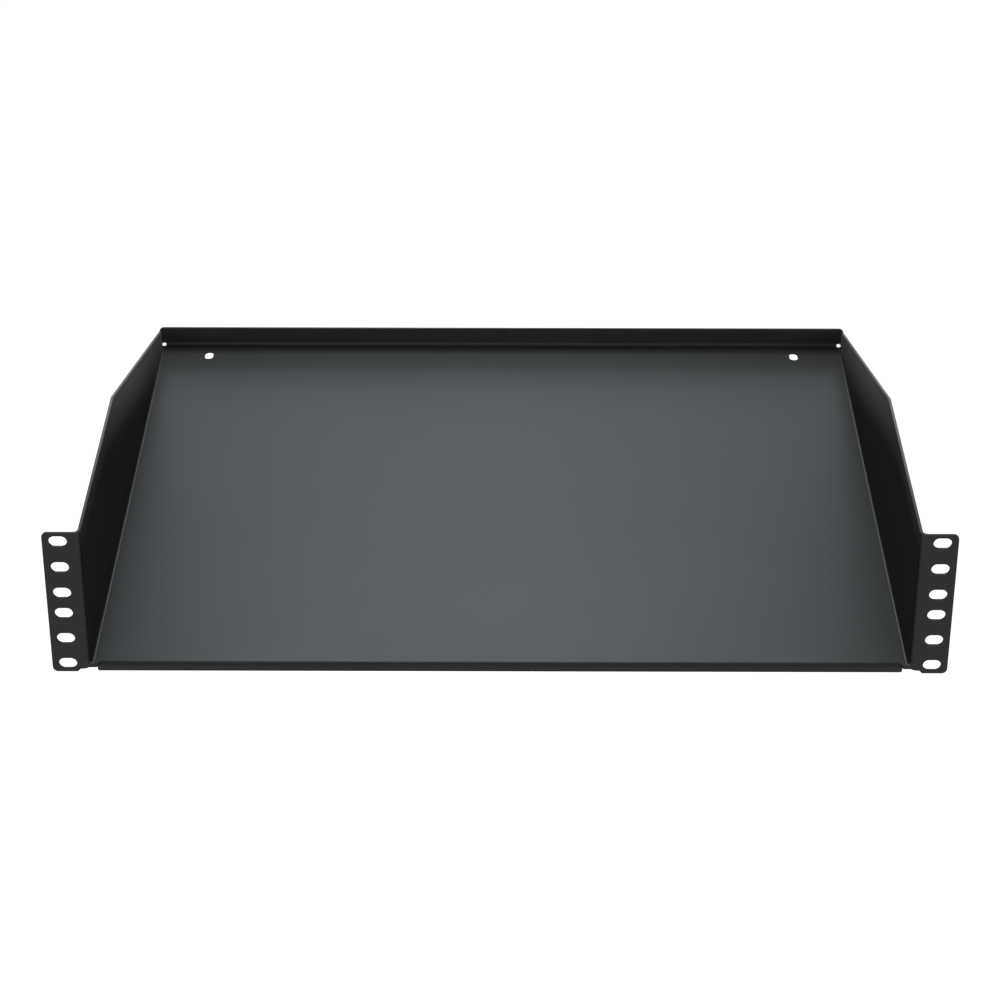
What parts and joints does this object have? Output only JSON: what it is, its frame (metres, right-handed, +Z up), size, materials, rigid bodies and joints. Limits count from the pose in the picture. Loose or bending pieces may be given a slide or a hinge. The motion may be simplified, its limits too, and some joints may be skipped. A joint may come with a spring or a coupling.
{
  "type": "cantilever rack shelf",
  "caption": "Rack shelf folded from one steel sheet: a flat pan between sloping side walls, slotted ears that bolt to the front rails, and low front and rear lips.",
  "frame": {"origin": "middle of the ear slot grid, on the plane of the ears' rear faces, which lie on the rack rails", "axes": "+X to the right seen from the front, +Y to the rear along the pan, +Z up"},
  "size_m": [0.482, 0.38, 0.0868],
  "materials": {
    "powder_coat": "satin black powder coat"
  },
  "bodies": {
    "root": {"folded_shelf": "powder_coat"}
  },
  "joints": []
}
